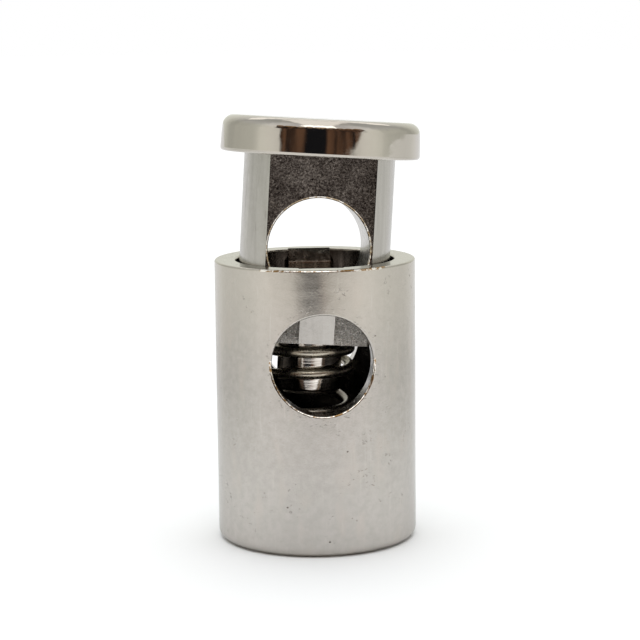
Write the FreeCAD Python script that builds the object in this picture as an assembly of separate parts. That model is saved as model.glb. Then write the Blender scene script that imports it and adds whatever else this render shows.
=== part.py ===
import FreeCAD, Part
import math
import os

# Cord lock: a cast barrel, a cast plunger and the coil spring between them.
# Millimetres, +Z up. The origin is the centre of the barrel's flat base.
# The cord holes run along Y. The plunger is modelled at rest, held up by the
# spring and leaning in its clearance.

V = FreeCAD.Vector

# Barrel
barrel_radius = 6.0
barrel_height = 16.9
bore_radius = 4.75
floor_thickness = 1.3
base_round = 0.55
rim_round = 0.12
bore_corner_round = 0.35
cord_hole_radius = 2.95
cord_hole_z = 11.35
cord_hole_edge_round = 0.10
tab_width = 2.6
tab_reach = 4.2
tab_length = 0.85
tab_bottom_z = 14.80
notch_outer_radius = 4.95
notch_depth = 0.75
tab_edge_round = 0.25

# Plunger, in its own upright position before the lean
shaft_radius = 4.5
shaft_foot_radius = 4.22
taper_top_z = 14.6
foot_z = 12.0
cap_radius = 5.95
cap_bottom_z = 23.05
cap_top_z = 25.2
cap_side_draft = 0.13
cap_top_round = 0.68
cap_bottom_round = 0.20
recess_half_width = 3.13
web_half_thickness = 2.72
eye_radius = 3.0
eye_z = 17.6
eye_edge_round = 0.11
rib_half_width = 1.02
rib_top_z = 14.5
rib_foot_step = 0.2
pin_radius = 1.92
pin_bottom_z = 8.85
pin_end_round = 0.35

# Lean of the plunger at rest, about the centre of the rim
lean_degrees = 4.5
lean_heading_degrees = 32.8

# Spring
wire_radius = 0.30
coil_radius = 2.39
end_overlap = 0.10
closed_turns = 0.8
opening_turns = 0.65
closed_pitch = 0.62
open_pitch = 2.3
middle_tilt = 0.10
tip_angle_degrees = 90.0
seat_gap = 0.02


def lean_axis():
    heading = math.radians(lean_heading_degrees)
    return V(-math.sin(heading), math.cos(heading), 0)


def leaned(shape):
    """The shape turned from upright to the plunger's resting lean."""
    turned = shape.copy()
    turned.rotate(V(0, 0, barrel_height), lean_axis(), lean_degrees)
    return turned


def edges_where(shape, test):
    return [edge for edge in shape.Edges if test(edge)]


def at_height(z):
    def test(edge):
        box = edge.BoundBox
        return abs(box.ZMin - z) < 1e-4 and abs(box.ZMax - z) < 1e-4
    return test


def barrel_shell():
    """Closed-bottom tube with rounded base and rim."""
    body = Part.makeCylinder(barrel_radius, barrel_height)
    body = body.makeFillet(base_round, edges_where(body, at_height(0)))
    bore = Part.makeCylinder(bore_radius, barrel_height, V(0, 0, floor_thickness))
    bore = bore.makeFillet(bore_corner_round, edges_where(bore, at_height(floor_thickness)))
    body = body.cut(bore)
    return body.makeFillet(rim_round, edges_where(body, at_height(barrel_height)))


def cut_cord_hole(body):
    """Round hole through the front and rear walls, its outer edges broken."""
    hole = Part.makeCylinder(
        cord_hole_radius, 4 * barrel_radius, V(0, -2 * barrel_radius, cord_hole_z), V(0, 1, 0)
    )
    body = body.cut(hole)

    def on_outside(edge):
        points = edge.discretize(9)
        radial = all(abs(math.hypot(p.x, p.y) - barrel_radius) < 1e-3 for p in points)
        around = all(
            abs(math.hypot(p.x, p.z - cord_hole_z) - cord_hole_radius) < 1e-3 for p in points
        )
        return radial and around

    return body.makeFillet(cord_hole_edge_round, edges_where(body, on_outside))


def add_tab(body, side):
    """One staked tab that keeps the plunger in, its top a steep slope into the bore."""
    start = tab_reach if side > 0 else -tab_reach - tab_length
    tab = Part.makeBox(
        tab_width, tab_length, barrel_height - tab_bottom_z, V(-tab_width / 2, start, tab_bottom_z)
    )
    body = body.fuse(tab)
    y_in = side * (tab_reach - 0.1)
    y_out = side * notch_outer_radius
    top = barrel_height + 0.1
    slope = notch_depth / (notch_outer_radius - tab_reach)
    profile = Part.makePolygon([
        V(-tab_width / 2, y_out, barrel_height),
        V(-tab_width / 2, y_out, top),
        V(-tab_width / 2, y_in, top),
        V(-tab_width / 2, y_in, barrel_height - notch_depth - 0.1 * slope),
        V(-tab_width / 2, y_out, barrel_height),
    ])
    notch = Part.Face(profile).extrude(V(tab_width, 0, 0))
    body = body.cut(notch)

    def inner_top(edge):
        box = edge.BoundBox
        flat = abs(box.YMin - side * tab_reach) < 1e-3 and abs(box.YMax - side * tab_reach) < 1e-3
        high = abs(box.ZMin - (barrel_height - notch_depth)) < 1e-3 and box.XLength > 2
        return flat and high

    return body.makeFillet(tab_edge_round, edges_where(body, inner_top))


def make_barrel():
    body = cut_cord_hole(barrel_shell())
    body = add_tab(body, 1)
    return add_tab(body, -1)


def shaft_blank():
    """The shaft as a full round, drawn in towards its foot."""
    lower = Part.makeCone(
        shaft_foot_radius, shaft_radius, taper_top_z - foot_z, V(0, 0, foot_z)
    )
    upper = Part.makeCylinder(shaft_radius, cap_bottom_z + 0.5 - taper_top_z, V(0, 0, taper_top_z))
    return lower.fuse(upper)


def cut_recesses(shaft):
    """Flat recess on the front and on the rear, leaving the web between two legs."""
    for y in (web_half_thickness, -web_half_thickness - shaft_radius):
        shaft = shaft.cut(Part.makeBox(
            2 * recess_half_width, shaft_radius, cap_bottom_z - foot_z, V(-recess_half_width, y, foot_z)
        ))
    return shaft


def cut_eye(shaft):
    """Round cord eye through the web, its edges broken."""
    eye = Part.makeCylinder(
        eye_radius, 4 * shaft_radius, V(0, -2 * shaft_radius, eye_z), V(0, 1, 0)
    )
    shaft = shaft.cut(eye)

    def on_web(edge):
        box = edge.BoundBox
        flat = box.YLength < 1e-4 and abs(abs(box.YMin) - web_half_thickness) < 1e-4
        mid = edge.valueAt((edge.FirstParameter + edge.LastParameter) / 2)
        return flat and abs(math.hypot(mid.x, mid.z - eye_z) - eye_radius) < 1e-4

    return shaft.makeFillet(eye_edge_round, edges_where(shaft, on_web))


def make_ribs():
    """Stop ribs below the eye, front and rear, flush with the round of the shaft."""
    low_z = foot_z + rib_foot_step
    bar = Part.makeBox(
        2 * rib_half_width, 4 * shaft_radius, rib_top_z - low_z, V(-rib_half_width, -2 * shaft_radius, low_z)
    )
    return bar.common(shaft_blank())


def make_cap():
    """Round cap, its side upright at the bottom and curving in towards the top."""
    top_radius = cap_radius - cap_side_draft
    middle_radius = cap_radius - cap_side_draft / 4
    middle_z = (cap_bottom_z + cap_top_z) / 2
    side = Part.Arc(
        V(cap_radius, 0, cap_bottom_z), V(middle_radius, 0, middle_z), V(top_radius, 0, cap_top_z)
    ).toShape()
    rest = Part.makePolygon([
        V(top_radius, 0, cap_top_z),
        V(0, 0, cap_top_z),
        V(0, 0, cap_bottom_z),
        V(cap_radius, 0, cap_bottom_z),
    ])
    profile = Part.Face(Part.Wire([side] + rest.Edges))
    cap = profile.revolve(V(0, 0, 0), V(0, 0, 1), 360)
    cap = cap.makeFillet(cap_top_round, edges_where(cap, at_height(cap_top_z)))
    return cap.makeFillet(cap_bottom_round, edges_where(cap, at_height(cap_bottom_z)))


def make_pin():
    """Round pin under the foot that keeps the spring centred."""
    pin = Part.makeCylinder(pin_radius, foot_z + 0.3 - pin_bottom_z, V(0, 0, pin_bottom_z))
    return pin.makeFillet(pin_end_round, edges_where(pin, at_height(pin_bottom_z)))


def make_plunger():
    shaft = cut_eye(cut_recesses(shaft_blank()))
    body = shaft.fuse([make_ribs(), make_cap(), make_pin()]).removeSplitter()
    return leaned(body)


def coil_drop(turn):
    """Height lost from the wire's tip after a number of turns at one end."""
    drop = closed_pitch * turn
    past = turn - closed_turns
    if past <= 0:
        return drop
    growth = (open_pitch - closed_pitch) / opening_turns
    return drop + growth * past * past / 2


def ease(share):
    """0 up to 0, 1 from 1, and smooth between."""
    s = min(max(share, 0.0), 1.0)
    return s * s * (3 - 2 * s)


def make_spring():
    """Compression spring on the leaning plunger's axis, its closed ends ground flat.

    Its open turns droop a little more to the right than the foot does.
    """
    bottom_z = floor_thickness + wire_radius + seat_gap - end_overlap
    top_z = foot_z - wire_radius - seat_gap + end_overlap
    end_turns = closed_turns + opening_turns
    end_drop = coil_drop(end_turns)
    middle_turns = (top_z - bottom_z - 2 * end_drop) / open_pitch
    turns = 2 * end_turns + middle_turns
    lean = math.tan(math.radians(lean_degrees))
    heading = math.radians(lean_heading_degrees)
    points = []
    steps = int(turns * 20)
    for step in range(steps + 1):
        turn = turns * step / steps
        if turn <= end_turns:
            z = top_z - coil_drop(turn)
        elif turn < turns - end_turns:
            z = top_z - end_drop - (turn - end_turns) * open_pitch
        else:
            z = bottom_z + coil_drop(turns - turn)
        angle = math.radians(tip_angle_degrees) - 2 * math.pi * turn
        x = coil_radius * math.cos(angle)
        y = coil_radius * math.sin(angle)
        follow = (z - bottom_z) / (top_z - bottom_z)
        open_above = ease((turn - closed_turns) / opening_turns)
        open_below = ease((turns - turn - end_turns) / end_turns)
        droop = middle_tilt * x * open_above * open_below
        along = x * math.cos(heading) + y * math.sin(heading)
        offset = -(barrel_height - z) * lean
        points.append(V(
            x + offset * math.cos(heading),
            y + offset * math.sin(heading),
            z - lean * along * follow - droop,
        ))
    curve = Part.BSplineCurve()
    curve.interpolate(points)
    path = Part.Wire(curve.toShape())
    start = curve.value(curve.FirstParameter)
    direction = curve.tangent(curve.FirstParameter)[0]
    section = Part.Wire(Part.Circle(start, direction, wire_radius).toShape())
    coil = path.makePipeShell([section], True, True)
    below = Part.makeBox(20, 20, 3, V(-10, -10, floor_thickness + seat_gap - 3))
    above = leaned(Part.makeBox(20, 20, 3, V(-10, -10, foot_z - seat_gap)))
    return coil.cut(below).cut(above)


def save(shape, name):
    solids = shape.Solids
    result = solids[0] if len(solids) == 1 else Part.makeCompound(solids)
    result.exportStep("parts/" + name + ".step")
    print(name, "solids", len(solids), "valid", result.isValid(), "volume", round(result.Volume, 2))
    return result


os.makedirs("parts", exist_ok=True)
barrel = save(make_barrel(), "barrel")
plunger = save(make_plunger(), "plunger")
spring = save(make_spring(), "spring")
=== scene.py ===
import math

import bpy
from mathutils import Matrix, Vector


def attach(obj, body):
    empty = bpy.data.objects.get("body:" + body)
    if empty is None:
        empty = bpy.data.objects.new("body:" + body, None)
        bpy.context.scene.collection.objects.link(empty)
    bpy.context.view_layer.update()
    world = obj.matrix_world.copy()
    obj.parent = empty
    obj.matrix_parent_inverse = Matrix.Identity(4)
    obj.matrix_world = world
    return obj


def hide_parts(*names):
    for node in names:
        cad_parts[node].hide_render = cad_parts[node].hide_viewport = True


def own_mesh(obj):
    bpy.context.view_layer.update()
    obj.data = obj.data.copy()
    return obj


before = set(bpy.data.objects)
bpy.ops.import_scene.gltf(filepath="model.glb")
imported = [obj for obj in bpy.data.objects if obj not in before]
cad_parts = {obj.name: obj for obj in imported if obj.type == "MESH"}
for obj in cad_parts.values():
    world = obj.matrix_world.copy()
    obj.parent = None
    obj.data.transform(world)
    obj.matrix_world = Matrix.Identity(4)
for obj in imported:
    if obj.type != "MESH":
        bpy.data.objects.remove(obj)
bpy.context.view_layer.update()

# A cord lock on a white table, in a light tent whose open front shows dark in
# the polished metal. Metres, in the CAD frame, with +Z up.

scene = bpy.context.scene
MM = 0.001

# Sizes of the part, in millimetres. Those of the plunger are for it upright.
BARREL_RADIUS = 6.0
BORE_RADIUS = 4.75
RIM_Z = 16.9
HOLE_RADIUS = 2.95
HOLE_Z = 11.35
TAB_HALF_WIDTH = 1.3
TAB_BOTTOM_Z = 14.8
FOOT_Z = 12.0
CAP_BOTTOM_Z = 23.05
EYE_RADIUS = 3.0
EYE_Z = 17.6
WEB_HALF_THICKNESS = 2.72

# How far and towards where the resting plunger leans, about the centre of the rim.
LEAN = math.radians(4.5)
HEADING = math.radians(32.8)
PIVOT = Vector((0, 0, RIM_Z * MM))
TO_UPRIGHT = Matrix.Rotation(-LEAN, 4, Vector((-math.sin(HEADING), math.cos(HEADING), 0)))

# The camera stands a little to the left of the front.
TURN = math.radians(4.5)
TO_DEGREES = math.degrees(1)


def upright(point):
    """A point of the resting plunger, moved to where it is with the plunger upright."""
    return TO_UPRIGHT @ (Vector(point) - PIVOT) + PIVOT


def facing(x, y, z):
    """A point given with the camera's side as -Y, turned into the CAD frame."""
    return (
        x * math.cos(TURN) + y * math.sin(TURN),
        -x * math.sin(TURN) + y * math.cos(TURN),
        z,
    )


# ---------------------------------------------------------------- node helpers

class Nodes:
    """A node tree, with short ways to add the nodes used here."""

    def __init__(self, tree, output):
        self.tree = tree
        self.tree.nodes.clear()
        self.output = self.add(output)

    def add(self, kind, **values):
        node = self.tree.nodes.new(kind)
        for key, value in values.items():
            setattr(node, key, value)
        return node

    def link(self, source, target):
        self.tree.links.new(source, target)

    def fill(self, socket, value):
        """Sets a socket to a constant, or links another socket to it."""
        if isinstance(value, bpy.types.NodeSocket):
            self.link(value, socket)
        else:
            socket.default_value = value

    def math(self, operation, a, b=0.0, clamp=False):
        node = self.add("ShaderNodeMath", operation=operation, use_clamp=clamp)
        self.fill(node.inputs[0], a)
        self.fill(node.inputs[1], b)
        return node.outputs[0]

    def place(self):
        """Position in the piece, in millimetres."""
        coordinates = self.add("ShaderNodeTexCoord")
        scale = self.add("ShaderNodeVectorMath", operation="SCALE")
        self.link(coordinates.outputs["Object"], scale.inputs[0])
        scale.inputs["Scale"].default_value = 1 / MM
        return scale.outputs[0]

    def stretch(self, vector, x, y, z):
        node = self.add("ShaderNodeVectorMath", operation="MULTIPLY")
        self.link(vector, node.inputs[0])
        node.inputs[1].default_value = (x, y, z)
        return node.outputs[0]

    def noise(self, vector, scale, detail=3.0, roughness=0.5):
        """Cloudy noise round 0.5, finer with a larger scale."""
        node = self.add("ShaderNodeTexNoise")
        self.link(vector, node.inputs["Vector"])
        node.inputs["Scale"].default_value = scale
        node.inputs["Detail"].default_value = detail
        node.inputs["Roughness"].default_value = roughness
        return node.outputs["Fac"]

    def cells(self, vector, scale):
        """Distance to the nearest of many scattered points."""
        node = self.add("ShaderNodeTexVoronoi")
        self.link(vector, node.inputs["Vector"])
        node.inputs["Scale"].default_value = scale
        return node.outputs["Distance"]

    def span(self, value, low, high, out_low=0.0, out_high=1.0, smooth=False):
        """The value's place between low and high, put between out_low and out_high."""
        node = self.add("ShaderNodeMapRange")
        node.interpolation_type = "SMOOTHSTEP" if smooth else "LINEAR"
        self.fill(node.inputs["Value"], value)
        node.inputs["From Min"].default_value = low
        node.inputs["From Max"].default_value = high
        node.inputs["To Min"].default_value = out_low
        node.inputs["To Max"].default_value = out_high
        return node.outputs[0]

    def band(self, value, middle, half, soft):
        """1 near the middle, falling to 0 over soft before half is reached."""
        away = self.math("ABSOLUTE", self.math("SUBTRACT", value, middle))
        return self.span(away, half - soft, half, 1.0, 0.0)

    def parts(self, vector):
        """The vector's x, y and z."""
        split = self.add("ShaderNodeSeparateXYZ")
        self.link(vector, split.inputs[0])
        return split.outputs

    def bearing(self, vector):
        """The vector with the camera's side as -Y, and its angle from there in degrees."""
        turn = self.add("ShaderNodeVectorRotate", rotation_type="Z_AXIS")
        self.link(vector, turn.inputs["Vector"])
        turn.inputs["Angle"].default_value = TURN
        x, y, _ = self.parts(turn.outputs[0])
        angle = self.math("ARCTAN2", x, self.math("MULTIPLY", y, -1.0))
        return turn.outputs[0], self.math("MULTIPLY", angle, TO_DEGREES)

    def blend(self, factor, a, b):
        """Colour a, turning into colour b as the factor goes from 0 to 1."""
        node = self.add("ShaderNodeMix", data_type="RGBA")
        self.fill(node.inputs[0], factor)
        # the node's colours come after its numbers and vectors
        self.fill(node.inputs[6], a)
        self.fill(node.inputs[7], b)
        return node.outputs[2]

    def curve(self, value, points):
        """A smooth curve through (place, height) points, both from 0 to 1."""
        node = self.add("ShaderNodeFloatCurve")
        line = node.mapping.curves[0]
        line.points[0].location = points[0]
        line.points[1].location = points[-1]
        for x, y in points[1:-1]:
            line.points.new(x, y)
        node.mapping.update()
        self.fill(node.inputs["Value"], value)
        return node.outputs[0]

    def bump(self, height, strength, distance, normal=None):
        node = self.add("ShaderNodeBump")
        node.inputs["Strength"].default_value = strength
        node.inputs["Distance"].default_value = distance
        self.link(height, node.inputs["Height"])
        if normal is not None:
            self.link(normal, node.inputs["Normal"])
        return node.outputs[0]


class Shader(Nodes):
    """A material and its node tree."""

    def __init__(self, name):
        self.material = bpy.data.materials.new(name)
        self.material.use_nodes = True
        super().__init__(self.material.node_tree, "ShaderNodeOutputMaterial")

    def metal(self, color, roughness, normal):
        """Makes this a metal, dimmed a little at grazing angles."""
        node = self.add("ShaderNodeBsdfPrincipled")
        node.inputs["Metallic"].default_value = 1.0
        node.inputs["Specular Tint"].default_value = (0.82, 0.82, 0.82, 1)
        self.fill(node.inputs["Base Color"], color)
        self.fill(node.inputs["Roughness"], roughness)
        self.link(normal, node.inputs["Normal"])
        self.link(node.outputs[0], self.output.inputs[0])
        return self.material

    def emission(self, color, strength):
        node = self.add("ShaderNodeEmission")
        self.fill(node.inputs["Color"], color)
        self.fill(node.inputs["Strength"], strength)
        return node.outputs[0]

    def glow(self, color, strength):
        """Makes this a plain light."""
        self.link(self.emission(color, strength), self.output.inputs[0])
        return self.material


# ---------------------------------------------------------------- the metals

def satin_nickel():
    """The barrel's outside: satin plate, mottled, with small pits and faint scratches."""
    s = Shader("barrel_satin_nickel")
    place = s.place()
    x, _, z = s.parts(place)

    # slow changes of tone, greenish and pinkish patches, and painted light that makes the top
    # lighter and warmer
    tone = s.noise(place, 0.35, 4.0, 0.55)
    color = s.blend(tone, (0.485, 0.456, 0.427, 1), (0.535, 0.506, 0.476, 1))
    mottle = s.span(s.noise(place, 2.4, 4.0, 0.65), 0.36, 0.64, 0.0, 0.55)
    color = s.blend(mottle, color, (0.420, 0.400, 0.368, 1))
    green = s.span(s.noise(s.stretch(place, 1.0, 1.0, 0.4), 0.9, 3.0), 0.52, 0.66, 0.0, 0.45)
    color = s.blend(green, color, (0.468, 0.456, 0.413, 1))
    pink = s.span(s.noise(s.stretch(place, 1.3, 1.3, 0.5), 0.7, 3.0), 0.54, 0.68, 0.0, 0.5)
    color = s.blend(pink, color, (0.545, 0.490, 0.455, 1))
    # painted light: lighter and warmer towards the top
    color = s.blend(s.span(z, 10.0, 16.0, 0.0, 0.6, smooth=True), color, (0.555, 0.520, 0.462, 1))

    # faint upright scratches
    scratch = s.span(s.noise(s.stretch(place, 6.0, 6.0, 0.35), 1.2, 2.0), 0.64, 0.70)
    color = s.blend(s.math("MULTIPLY", scratch, 0.25), color, (0.60, 0.575, 0.535, 1))

    # dark pits here and there, and specks in stained places and round the hole
    pits = s.span(s.cells(place, 1.1), 0.03, 0.09, 1.0, 0.0)
    spotted = s.math("MULTIPLY", pits, s.span(s.noise(place, 0.5, 1.0), 0.50, 0.60))
    across = s.math("POWER", x, 2.0)
    along = s.math("POWER", s.math("SUBTRACT", z, HOLE_Z), 2.0)
    from_hole = s.math("SQRT", s.math("ADD", across, along))
    speck = s.span(s.noise(place, 5.0, 3.0, 0.6), 0.61, 0.67)
    stain = s.span(s.noise(place, 0.8, 2.0), 0.60, 0.70, 0.0, 0.7)
    worn = s.math("ADD", stain, s.span(from_hole, 3.0, 3.6, 0.7, 0.0), clamp=True)
    spotted = s.math("MAXIMUM", spotted, s.math("MULTIPLY", speck, worn))
    color = s.blend(s.math("MULTIPLY", spotted, 0.5), color, (0.22, 0.195, 0.17, 1))

    rough = s.span(s.noise(place, 1.4, 5.0, 0.6), 0.3, 0.7, 0.17, 0.23)
    normal = s.bump(s.noise(place, 9.0, 3.0, 0.6), 0.08, 0.00003)
    normal = s.bump(s.noise(place, 0.5, 2.0), 0.05, 0.0004, normal)
    normal = s.bump(s.math("MULTIPLY", spotted, -1.0), 0.6, 0.00004, normal)
    return s.metal(color, rough, normal)


def shaded_bore_plate(name, dark, light):
    """Inside the barrel: plate with drawn streaks, near black deep down as painted shade, with the
    given dark and light colours near the mouth.
    """
    s = Shader(name)
    place = s.place()
    z = s.parts(place)[2]
    streak = s.noise(s.stretch(place, 3.0, 3.0, 0.15), 1.2, 3.0)
    # painted shade: near-black plate deep inside the barrel
    deep = s.blend(streak, (0.075, 0.069, 0.064, 1), (0.155, 0.144, 0.135, 1))
    mouth = s.blend(s.span(streak, 0.35, 0.65), dark, light)
    color = s.blend(s.span(z, 13.9, 14.6, smooth=True), deep, mouth)
    rough = s.span(s.noise(place, 2.0, 3.0), 0.3, 0.7, 0.16, 0.30)
    normal = s.bump(streak, 0.15, 0.00004)
    return s.metal(color, rough, normal)


def painted_edge_highlight(where, bright, brown):
    """Broken edges, with a painted highlight: near white, flecked with brown."""
    s = Shader(where + "_painted_highlight_edge")
    place = s.place()
    fleck = s.noise(place, 2.6, 4.0, 0.7)
    # painted highlight: near-white edge colour, flecked with brown
    color = s.blend(s.span(fleck, 0.46, 0.54), bright, brown)
    rough = s.span(s.noise(place, 6.0, 3.0), 0.3, 0.7, 0.10, 0.24)
    normal = s.bump(fleck, 0.35, 0.00006)
    return s.metal(color, rough, normal)


def polished_nickel():
    """The plunger's cap: bright plate over a slightly uneven casting."""
    s = Shader("cap_polished_nickel")
    place = s.place()
    cloud = s.noise(place, 0.6, 3.0)
    color = s.blend(cloud, (0.50, 0.465, 0.42, 1), (0.55, 0.52, 0.475, 1))
    rough = s.span(s.noise(place, 2.5, 4.0), 0.35, 0.7, 0.05, 0.11)
    swell = s.noise(place, 0.4, 2.0)
    normal = s.bump(swell, 0.06, 0.0005)
    ripple = s.noise(place, 2.2, 3.0)
    normal = s.bump(ripple, 0.03, 0.00006, normal)
    return s.metal(color, rough, normal)


def smooth_legs():
    """The plunger's legs and ribs: smooth plate with light drawing marks."""
    s = Shader("leg_smooth_nickel")
    place = s.place()
    streak = s.noise(s.stretch(place, 2.5, 2.5, 0.25), 1.0, 3.0)
    color = s.blend(s.span(streak, 0.38, 0.62), (0.455, 0.438, 0.412, 1), (0.50, 0.482, 0.456, 1))
    line = s.span(s.noise(s.stretch(place, 4.0, 4.0, 0.2), 1.3, 2.0), 0.65, 0.69)
    color = s.blend(s.math("MULTIPLY", line, 0.3), color, (0.22, 0.20, 0.185, 1))
    rough = s.span(s.noise(place, 3.0, 3.0), 0.3, 0.7, 0.18, 0.26)
    normal = s.bump(s.noise(place, 1.2, 3.0), 0.12, 0.0001)
    return s.metal(color, rough, normal)


def turned_pin():
    """The spring's pin: bright, with turning marks round it."""
    s = Shader("pin_bright_nickel")
    place = s.place()
    ring = s.noise(s.stretch(place, 0.3, 0.3, 9.0), 1.0, 3.0)
    color = s.blend(s.span(ring, 0.35, 0.65), (0.62, 0.58, 0.54, 1), (0.90, 0.87, 0.83, 1))
    rough = s.span(s.noise(place, 3.0, 3.0), 0.3, 0.7, 0.08, 0.14)
    normal = s.bump(ring, 0.2, 0.00003)
    return s.metal(color, rough, normal)


def cast_web():
    """The recessed faces: pebbled as cast, with sparkling facets; painted shade makes them near
    black from the eye up, and painted light near white below it.
    """
    s = Shader("web_grain_painted_light_and_shade")
    place = s.place()
    z = s.parts(place)[2]
    grain = s.span(s.noise(place, 8.0, 4.0, 0.7), 0.43, 0.66)
    patch = s.span(s.noise(place, 0.8, 3.0), 0.35, 0.68)
    # painted shade: the web's upper colours, near black with grey grain
    dark = s.blend(patch, (0.035, 0.027, 0.024, 1), (0.075, 0.062, 0.056, 1))
    light = s.blend(patch, (0.17, 0.145, 0.132, 1), (0.34, 0.300, 0.276, 1))
    high = s.blend(grain, dark, light)
    # painted light: near white below the eye, down inside the barrel
    low = s.blend(grain, (0.62, 0.585, 0.545, 1), (1.0, 0.98, 0.95, 1))
    color = s.blend(s.span(z, 14.0, 15.5, 1.0, 0.0), high, low)
    rough = s.span(s.noise(place, 9.0, 2.0), 0.3, 0.7, 0.22, 0.40)
    normal = s.bump(grain, 0.5, 0.00010)
    facets = s.cells(place, 6.0)
    normal = s.bump(facets, 0.4, 0.00006, normal)
    return s.metal(color, rough, normal)


def spring_steel():
    """Smooth drawn wire with a straw tint, darkened lower down as painted shade."""
    s = Shader("spring_drawn_wire")
    place = s.place()
    z = s.parts(place)[2]
    swell = s.noise(place, 0.7, 2.0)
    color = s.blend(s.noise(place, 0.8, 2.0), (0.50, 0.46, 0.38, 1), (0.62, 0.58, 0.50, 1))
    # painted shade: the lower turns darker
    color = s.blend(s.span(z, 8.6, 9.6, 0.75, 0.0), color, (0.12, 0.11, 0.10, 1))
    rough = s.span(s.noise(place, 4.0, 3.0), 0.3, 0.7, 0.24, 0.32)
    normal = s.bump(swell, 0.03, 0.0001)
    return s.metal(color, rough, normal)


# ---------------------------------------------------------------- barrel and plunger

# The materials of each casting, in the order in which it gets them.
SATIN, BORE, BARREL_EDGE, TAB = range(4)
CAP, LEG, WEB, EYE_EDGE, PIN = range(5)


def barrel_face(point, normal):
    """The barrel's material at a point in millimetres."""
    radius = math.hypot(point.x, point.y)
    from_hole = math.hypot(point.x, point.z - HOLE_Z)
    # painted highlight along the lower half of the hole's outer edges
    on_edge = HOLE_RADIUS + 0.005 < from_hole < HOLE_RADIUS + 0.14
    if on_edge and radius > BARREL_RADIUS - 0.13 and point.z < HOLE_Z + 0.25:
        return BARREL_EDGE
    # painted highlight on the rim's rounding, at its front and back
    on_rim_round = radius > BARREL_RADIUS - 0.2 and point.z > RIM_Z - 0.13 and abs(normal.z) < 0.98
    if on_rim_round and abs(point.x) < 3.6:
        return BARREL_EDGE
    inside = radius < BORE_RADIUS - 0.01
    if inside and abs(point.x) < TAB_HALF_WIDTH + 0.01 and point.z > TAB_BOTTOM_Z - 0.1:
        return TAB
    if radius < BORE_RADIUS + 0.15 and point.z < RIM_Z - 0.4:
        return BORE
    return SATIN


def plunger_face(point, normal):
    """The plunger's material at a point in millimetres."""
    here = upright(point * MM) / MM
    ahead = TO_UPRIGHT.to_3x3() @ normal
    if here.z > CAP_BOTTOM_Z - 0.05:
        return CAP
    if here.z < FOOT_Z - 0.01:
        return PIN
    # painted highlight along the edge of the eye's arch
    from_eye = math.hypot(here.x, here.z - EYE_Z)
    at_eye = EYE_RADIUS - 0.1 < from_eye < EYE_RADIUS + 0.115 and here.z > EYE_Z - 2.1
    if at_eye and WEB_HALF_THICKNESS - 0.12 < abs(here.y) < WEB_HALF_THICKNESS + 0.01:
        return EYE_EDGE
    if abs(abs(here.y) - WEB_HALF_THICKNESS) < 0.01 and abs(ahead.y) > 0.9:
        return WEB
    return LEG


def give(node, materials, choose):
    """Gives each face of a CAD node one of the materials, by choose(centre, normal)."""
    mesh = node.data
    mesh.materials.clear()
    for material in materials:
        mesh.materials.append(material)
    for face in mesh.polygons:
        face.material_index = choose(face.center / MM, face.normal)


# painted highlights: the barrel's rim and hole edges, and the eye's edge
barrel_edge = painted_edge_highlight("barrel", (0.98, 0.95, 0.90, 1), (0.38, 0.24, 0.11, 1))
eye_edge = painted_edge_highlight("eye", (0.93, 0.90, 0.86, 1), (0.46, 0.36, 0.24, 1))
# painted shade: the bore's plate near black up to its mouth
bore = shaded_bore_plate("barrel_bore_painted_shade", (0.052, 0.044, 0.040, 1), (0.105, 0.093, 0.085, 1))
# painted light: the tab gets a lighter, brown copy of the same plate
tab = shaded_bore_plate("barrel_tab_painted_light", (0.30, 0.24, 0.20, 1), (0.62, 0.55, 0.49, 1))
give(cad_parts["barrel"], [satin_nickel(), bore, barrel_edge, tab], barrel_face)
give(
    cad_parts["plunger"],
    [polished_nickel(), smooth_legs(), cast_web(), eye_edge, turned_pin()],
    plunger_face,
)


# ---------------------------------------------------------------- the spring


def add_coil():
    """The coil as its own piece, carried with the plunger."""
    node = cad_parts["spring"]
    coil = bpy.data.objects.new("spring_coil", node.data.copy())
    scene.collection.objects.link(coil)
    coil.matrix_world = node.matrix_world.copy()
    coil.data.materials.clear()
    coil.data.materials.append(spring_steel())
    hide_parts("spring")
    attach(coil, "plunger")
    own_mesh(coil)


add_coil()


# ---------------------------------------------------------------- the tent

# The opening's half width, as a share of OPENING_WIDTH degrees, at places from
# its lowest to its highest elevation.
OPENING_LOW = -10.0
OPENING_HIGH = 40.0
OPENING_WIDTH = 100.0
OPENING = (
    (0.00, 0.08), (0.04, 0.13), (0.07, 0.17), (0.10, 0.22), (0.16, 0.26), (0.20, 0.28),
    (0.24, 0.35), (0.29, 0.46), (0.35, 0.50), (0.55, 0.55), (1.00, 0.60),
)

# Brightness of the cloth and of the table, as a share of their levels, at angles
# from the front (0) round to the back (1).
CLOTH_LEVEL = 1.2
CLOTH = (
    (0.00, 0.67), (0.22, 0.72), (0.30, 0.81), (0.39, 0.79), (0.445, 0.65), (0.50, 0.59),
    (0.57, 0.565), (0.64, 0.56), (0.69, 0.51), (0.78, 0.66), (0.86, 0.82), (1.00, 0.90),
)
TABLE_LEVEL = 1.25
TABLE = (
    (0.00, 0.83), (0.32, 0.83), (0.42, 0.75), (0.52, 0.70), (0.66, 0.68), (0.78, 0.80), (1.00, 0.82),
)


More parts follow.
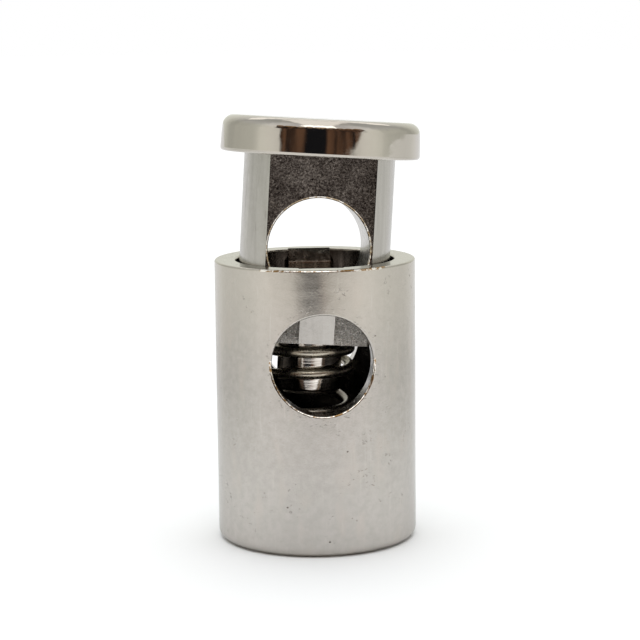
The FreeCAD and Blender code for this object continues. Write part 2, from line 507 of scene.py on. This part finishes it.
def cloth_light(s, turned, aside, elevation):
    """The tent's cloth: brightest behind, dimmer towards the front and overhead."""
    cloth = s.math("MULTIPLY", s.curve(s.span(aside, 0.0, 180.0), CLOTH), CLOTH_LEVEL)
    cloth = s.math("MULTIPLY", cloth, s.span(elevation, 30.0, 80.0, 1.0, 0.76, smooth=True))
    cloth = s.math("MULTIPLY", cloth, s.span(s.noise(turned, 2.2, 3.0), 0.35, 0.65, 0.93, 1.04))
    green = s.math("MULTIPLY", cloth, s.span(aside, 50.0, 85.0, 0.985, 1.012))
    blue = s.math("MULTIPLY", cloth, s.span(elevation, 20.0, 40.0, 0.92, 0.985))
    tone = s.add("ShaderNodeCombineColor")
    s.link(cloth, tone.inputs["Red"])
    s.link(green, tone.inputs["Green"])
    s.link(blue, tone.inputs["Blue"])
    return tone.outputs[0]


def cut_opening(s, light, turned, azimuth, elevation):
    """The opening: an uneven arch with the photographer's things in it, its top fringed golden."""
    # the arch, its outline moved by up to 7 degrees
    ragged = s.span(s.noise(turned, 3.5, 4.0), 0.3, 0.7, -7.0, 7.0)
    half = s.curve(s.span(elevation, OPENING_LOW, OPENING_HIGH), OPENING)
    half = s.math("MULTIPLY", half, OPENING_WIDTH)
    reach = s.math("SUBTRACT", half, s.math("ABSOLUTE", s.math("ADD", azimuth, 1.0)))
    inside = s.span(s.math("ADD", reach, ragged), 0.0, 5.0)
    under = s.span(s.math("ADD", elevation, s.math("MULTIPLY", ragged, 0.3)), 30.0, 34.0, 1.0, 0.0)
    opening = s.math("MULTIPLY", inside, under)

    # the things in it: upright streaks of dark and brown, and black near the middle
    streaks = s.noise(s.stretch(turned, 9.0, 9.0, 1.6), 1.0, 3.0)
    things = s.blend(s.span(streaks, 0.36, 0.62), (0.012, 0.010, 0.010, 1), (0.16, 0.085, 0.05, 1))
    things = s.blend(s.band(azimuth, -5.0, 13.0, 3.0), things, (0.012, 0.012, 0.014, 1))
    light = s.blend(opening, light, things)

    fringe = s.math("MULTIPLY", inside, s.band(elevation, 34.0, 4.0, 3.0))
    return s.blend(fringe, light, (0.34, 0.19, 0.055, 1))


def add_lamps(s, light, turned, aside, elevation):
    """The lamps over the opening, near the top and behind, and the strip overhead."""
    def lamp(at, half_height, side, half_width, strength):
        """A soft-edged patch of light, placed and sized in degrees."""
        high = s.band(elevation, at, half_height, half_height * 0.3)
        wide = s.band(side, 0.0, half_width, half_width * 0.1)
        color = (strength, strength * 0.98, strength * 0.94, 1)
        return s.blend(s.math("MULTIPLY", high, wide), light, color)

    light = lamp(50.0, 10.0, aside, 26.0, 2.6)
    light = lamp(74.0, 9.0, aside, 180.0, 0.62)
    light = lamp(46.0, 7.0, s.math("SUBTRACT", 180.0, aside), 48.0, 1.6)
    along = s.band(s.parts(turned)[0], 0.0, 0.27, 0.05)
    strip = s.math("MULTIPLY", s.span(elevation, 58.0, 62.0), along)
    return s.blend(strip, light, (1.35, 1.32, 1.27, 1))


def make_world():
    """The tent as light by direction: white all round, its front open and dark."""
    world = bpy.data.worlds.new("tent")
    world.use_nodes = True
    s = Nodes(world.node_tree, "ShaderNodeOutputWorld")
    back = s.add("ShaderNodeBackground")
    s.link(back.outputs[0], s.output.inputs[0])
    coordinates = s.add("ShaderNodeTexCoord")
    turned, azimuth = s.bearing(coordinates.outputs["Generated"])
    elevation = s.math("MULTIPLY", s.math("ARCSINE", s.parts(turned)[2]), TO_DEGREES)
    aside = s.math("ABSOLUTE", azimuth)
    light = cloth_light(s, turned, aside, elevation)
    light = cut_opening(s, light, turned, azimuth, elevation)
    light = add_lamps(s, light, turned, aside, elevation)
    s.link(light, back.inputs["Color"])
    back.inputs["Strength"].default_value = 1.0
    scene.world = world


make_world()


# ---------------------------------------------------------------- the setting

def add_staging(name, corners, faces, material):
    """A mesh that belongs to the setting and not to the part."""
    mesh = bpy.data.meshes.new(name)
    mesh.from_pydata([Vector(corner) for corner in corners], [], faces)
    mesh.materials.append(material)
    staging = bpy.data.objects.new(name, mesh)
    scene.collection.objects.link(staging)
    return staging


def flat(left, right, front, back, height):
    """Corners of a level rectangle, given with the camera's side as its front."""
    return [
        facing(left, front, height),
        facing(right, front, height),
        facing(right, back, height),
        facing(left, back, height),
    ]


def make_overhead():
    """A bluish card above, which lights the table but isn't seen or mirrored."""
    corners = flat(left=-0.2, right=0.2, front=-0.15, back=0.25, height=0.3)
    facing_down = (0, 3, 2, 1)
    glow = Shader("overhead_glow").glow((0.965, 0.985, 1.0, 1), 2.0)
    card = add_staging("overhead", corners, [facing_down], glow)
    card.visible_camera = False
    card.visible_glossy = False


def make_backdrop():
    """A plain white sphere that only the camera sees, in place of the tent."""
    rings, around, radius = 16, 32, 1.2
    corners = [Vector((0, 0, radius)), Vector((0, 0, -radius))]
    for ring in range(1, rings):
        down = math.pi * ring / rings
        for step in range(around):
            turn = 2 * math.pi * step / around
            corners.append(radius * Vector((
                math.sin(down) * math.cos(turn), math.sin(down) * math.sin(turn), math.cos(down)
            )))
    faces = []
    last = 2 + (rings - 2) * around
    for step in range(around):
        after = (step + 1) % around
        faces.append((0, 2 + step, 2 + after))
        faces.append((1, last + after, last + step))
        for ring in range(rings - 2):
            here = 2 + ring * around
            below = here + around
            faces.append((here + step, below + step, below + after, here + after))
    white = Shader("backdrop_white").glow((1, 1, 1, 1), 1.0)
    white.cycles.emission_sampling = "NONE"
    backdrop = add_staging("backdrop", corners, faces, white)
    backdrop.visible_diffuse = False
    backdrop.visible_glossy = False
    backdrop.visible_transmission = False
    backdrop.visible_shadow = False


def white_table():
    """A white surface that takes shadows near the part and turns into plain light further out."""
    s = Shader("white_table")
    place = s.place()
    matte = s.add("ShaderNodeBsdfPrincipled")
    tone = s.blend(s.noise(place, 0.05, 3.0), (0.92, 0.93, 0.945, 1), (0.94, 0.95, 0.965, 1))
    s.link(tone, matte.inputs["Base Color"])
    matte.inputs["Roughness"].default_value = 0.7
    matte.inputs["Specular IOR Level"].default_value = 0.1
    s.link(s.bump(s.noise(place, 3.0, 3.0), 0.05, 0.00005), matte.inputs["Normal"])

    # light by the angle from the front, a little stronger further out
    distance = s.add("ShaderNodeVectorMath", operation="LENGTH")
    s.link(place, distance.inputs[0])
    away = distance.outputs["Value"]
    aside = s.math("ABSOLUTE", s.bearing(place)[1])
    tint = s.blend(s.span(aside, 45.0, 85.0), (1.0, 0.98, 0.96, 1), (0.995, 1.0, 0.965, 1))
    tint = s.blend(s.span(aside, 128.0, 145.0), tint, (1, 1, 1, 1))
    level = s.math("MULTIPLY", s.curve(s.span(aside, 0.0, 180.0), TABLE), TABLE_LEVEL)
    level = s.math("MULTIPLY", level, s.span(away, 60.0, 95.0, 1.0, 1.08))

    mix = s.add("ShaderNodeMixShader")
    s.link(s.span(away, 7.0, 65.0, 0.0, 1.0, smooth=True), mix.inputs[0])
    s.link(matte.outputs[0], mix.inputs[1])
    s.link(s.emission(tint, level), mix.inputs[2])
    s.link(mix.outputs[0], s.output.inputs[0])
    return s.material


def make_table():
    """The table. It ends in front, so that the top of the barrel mirrors the opening beyond it."""
    corners = flat(left=-2, right=2, front=-0.096, back=3, height=0)
    facing_up = (0, 1, 2, 3)
    add_staging("floor", corners, [facing_up], white_table())


make_overhead()
make_backdrop()
make_table()


# ---------------------------------------------------------------- the camera

# The camera's tilts, its lens in millimetres, and where it stands, given with its
# own side as -Y.
PITCH = math.radians(8.933)
ROLL = math.radians(-0.616)
LENS = 113.1
STAND = (0.00028, -0.11947, 0.0319)


def make_camera():
    """The camera, looking at the part and a little down on it."""
    ahead = Vector(facing(0, math.cos(PITCH), -math.sin(PITCH)))
    right = Vector(facing(1, 0, 0))
    above = right.cross(ahead)
    side = right * math.cos(ROLL) + above * math.sin(ROLL)
    up = above * math.cos(ROLL) - right * math.sin(ROLL)
    data = bpy.data.cameras.new("camera")
    data.sensor_width = 36
    data.lens = LENS
    data.clip_start = 0.01
    data.clip_end = 10
    camera = bpy.data.objects.new("camera", data)
    scene.collection.objects.link(camera)
    turn = Matrix((side, up, -ahead)).transposed()
    camera.matrix_world = Matrix.Translation(Vector(facing(*STAND))) @ turn.to_4x4()
    scene.camera = camera


make_camera()
scene.view_settings.view_transform = "Standard"
scene.view_settings.look = "None"
